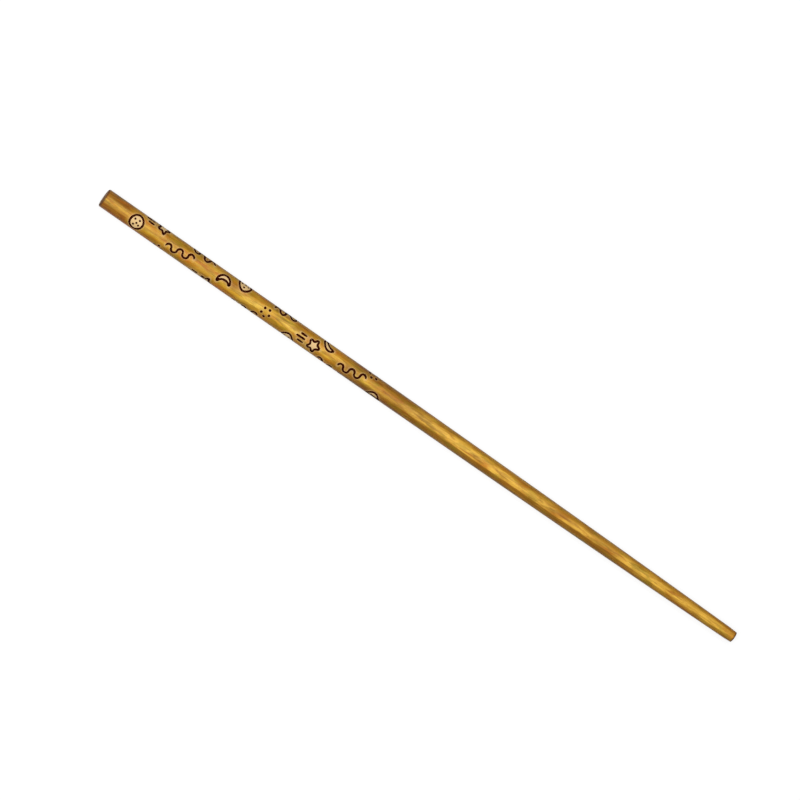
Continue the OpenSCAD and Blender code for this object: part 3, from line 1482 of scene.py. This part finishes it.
@dataclass(frozen=True)
class Studio:
    """A white floor under one large soft lamp."""

    stick: Stick
    floor_size: float = 12.0
    floor_bounce: str = "#555555"
    floor_shade: str = "#8c8c8c"
    floor_glow: float = 0.8
    surround: float = 0.08
    lamp_size: tuple[float, float] = (1.6, 0.7)
    lamp_place: tuple[float, float, float] = (0.0, 0.04, 1.0)
    lamp_power: float = 14.5

    def floor_material(self) -> Material:
        """Makes a floor that looks white, keeps a shadow, and throws little light back.

        Returns:
            The material.
        """
        material = bpy.data.materials.new("white_paper_floor")
        tree = empty_tree(material)
        bounced = add_node(tree, "ShaderNodeBsdfDiffuse", {"Color": linear(self.floor_bounce)})
        shaded = add_node(tree, "ShaderNodeBsdfDiffuse", {"Color": linear(self.floor_shade)})
        glow = add_node(tree, "ShaderNodeEmission", {"Strength": self.floor_glow})
        white = add_node(tree, "ShaderNodeAddShader", {0: shaded, 1: glow})
        floor = add_node(tree, "ShaderNodeMixShader", {0: self.seen(tree), 1: bounced, 2: white})
        add_node(tree, "ShaderNodeOutputMaterial", {"Surface": floor})
        return material

    def seen(self, tree: NodeTree) -> Node:
        """Tells rays that show the floor or the surround, straight or mirrored, from those that carry light.

        Args:
            tree: Tree that gets the nodes.

        Returns:
            A node that gives 1 for a ray that shows and 0 for one that carries light.
        """
        rays = add_node(tree, "ShaderNodeLightPath").outputs
        mirrored = add_node(
            tree,
            "ShaderNodeMath",
            {0: rays["Is Glossy Ray"], 1: rays["Is Transmission Ray"]},
            operation="MAXIMUM",
        )
        return add_node(tree, "ShaderNodeMath", {0: rays["Is Camera Ray"], 1: mirrored}, operation="MAXIMUM")

    def lay_floor(self) -> None:
        """Lays the floor under the stick."""
        half = self.floor_size / 2
        corners = [(-half, -half), (half, -half), (half, half), (-half, half)]
        mesh = bpy.data.meshes.new("floor")
        mesh.from_pydata([(x, y, -self.stick.butt_r) for x, y in corners], [], [(0, 1, 2, 3)])
        mesh.materials.append(self.floor_material())
        floor = add_object("floor", mesh)

    def hang_lamp(self) -> None:
        """Hangs the lamp, turned to the stick's middle and out of the camera's sight."""
        lamp = bpy.data.lights.new("softbox", "AREA")
        lamp.shape = "RECTANGLE"
        lamp.size, lamp.size_y = self.lamp_size
        lamp.energy = self.lamp_power
        softbox = add_object("softbox", lamp)
        softbox.location = self.lamp_place
        aim = Vector((self.stick.length / 2, 0, 0)) - Vector(self.lamp_place)
        softbox.rotation_euler = aim.to_track_quat("-Z", "Y").to_euler()
        softbox.visible_camera = False

    def light_surround(self) -> None:
        """Makes the surround look white and give only a little light."""
        world = bpy.data.worlds.new("pale_surround")
        tree = empty_tree(world)
        level = add_node(
            tree, "ShaderNodeMapRange", {"Value": self.seen(tree), "To Min": self.surround, "To Max": 1.0}
        )
        surround = add_node(tree, "ShaderNodeBackground", {"Color": linear("#ffffff"), "Strength": level})
        add_node(tree, "ShaderNodeOutputWorld", {"Surface": surround})
        bpy.context.scene.world = world

    def build(self) -> None:
        """Builds the floor, the lamp and the surround, and shows colours as they are written."""
        self.lay_floor()
        self.hang_lamp()
        self.light_surround()
        bpy.context.scene.view_settings.view_transform = "Standard"


@dataclass
class Wand:
    """The whole wand, in the order in which it is made."""

    stick: Stick
    nodes: dict[Motif, str] = field(
        default_factory=lambda: {
            Motif.MOON: "moon_line_paint",
            Motif.CRESCENT: "crescent_line_paint",
            Motif.STAR: "star_line_paint",
            Motif.WAVE: "wave_line_paint",
            Motif.DUST: "dust_dot_paint",
        }
    )

    def build(self) -> Iterator[Object]:
        """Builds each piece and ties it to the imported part.

        Yields:
            Each finished piece.
        """
        engraving = Engraving(self.stick)
        core = SteelCore()
        body = CastStick(self.stick, engraving, core)
        yield self.tie(body.build(), "cast_body")
        paint = GroovePaint().material()
        for kind, node in self.nodes.items():
            yield self.tie(LinePaint(kind, engraving).build(body.outline, paint), node)
        yield core.dress()

    def tie(self, piece: Object, node: str) -> Object:
        """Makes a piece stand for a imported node.

        Args:
            piece: The finished piece.
            node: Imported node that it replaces.

        Returns:
            The piece.
        """
        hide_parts(node)
        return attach(piece, BODY)


def main() -> None:
    """Builds the wand and the studio, and reports each piece."""
    logging.basicConfig(level=logging.INFO, format="%(message)s")
    stick = Stick.from_frame()
    for piece in Wand(stick).build():
        log.info("%s: %d faces", piece.name, len(piece.data.polygons))
    Studio(stick).build()
    PhotoCamera(stick).build()
    bpy.context.view_layer.update()


if __name__ == "__main__":
    main()
